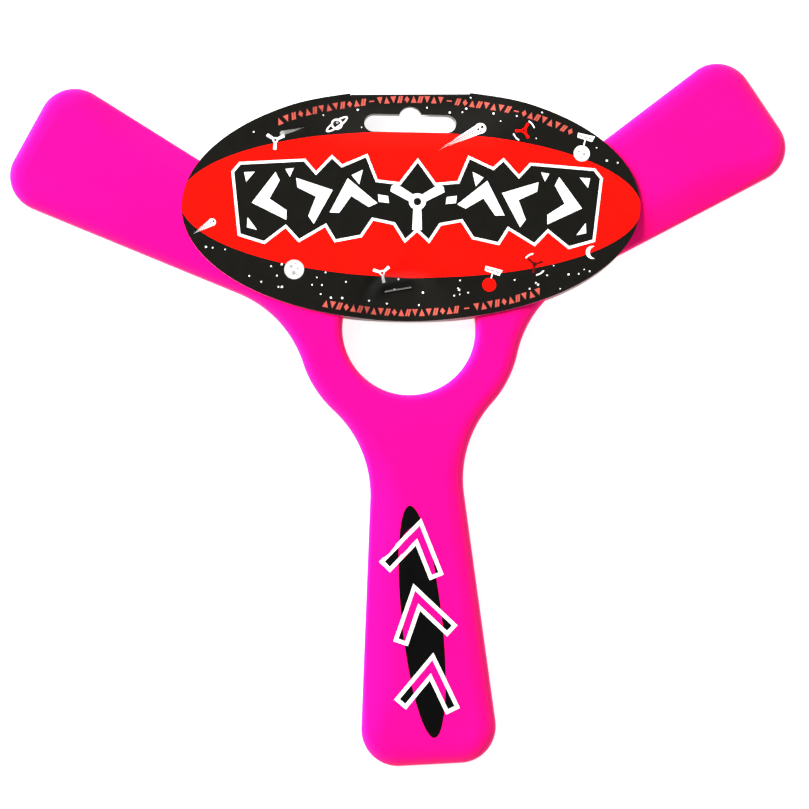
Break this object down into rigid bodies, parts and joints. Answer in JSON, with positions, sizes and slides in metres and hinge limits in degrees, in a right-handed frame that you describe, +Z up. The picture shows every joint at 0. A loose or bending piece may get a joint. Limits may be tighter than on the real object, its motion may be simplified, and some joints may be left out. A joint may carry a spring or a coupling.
{
  "type": "boomerang",
  "caption": "Three-blade moulded boomerang with a round hub hole, held in a folded oval hang card that is stapled through the hole.",
  "frame": {"origin": "centre of the bounding box's base, on the surface the card's back leaf lies on", "axes": "+Z up out of the printed face, +Y towards the card's fold and hang slot, +X to the right with the fold at the top"},
  "size_m": [0.2742, 0.247, 0.0065],
  "materials": {
    "pink_plastic": "moulded, satin gloss",
    "decal_vinyl": "printed vinyl film",
    "printed_card": "laminated printed card",
    "staple_wire": "zinc-coated wire"
  },
  "bodies": {
    "boomerang": {"boomerang_body": "pink_plastic", "blade_decal": "decal_vinyl"},
    "card": {"card_front_leaf": "printed_card", "card_back_leaf": "printed_card", "card_fold": "printed_card", "staple": "staple_wire"}
  },
  "joints": [
    {"name": "card_swivel", "type": "hinge", "parent": "boomerang", "child": "card", "pos_m": [0.00289, 0.02736, 0.00325], "axis": [0, 0, 1], "range_deg": [-18, 22]}
  ]
}
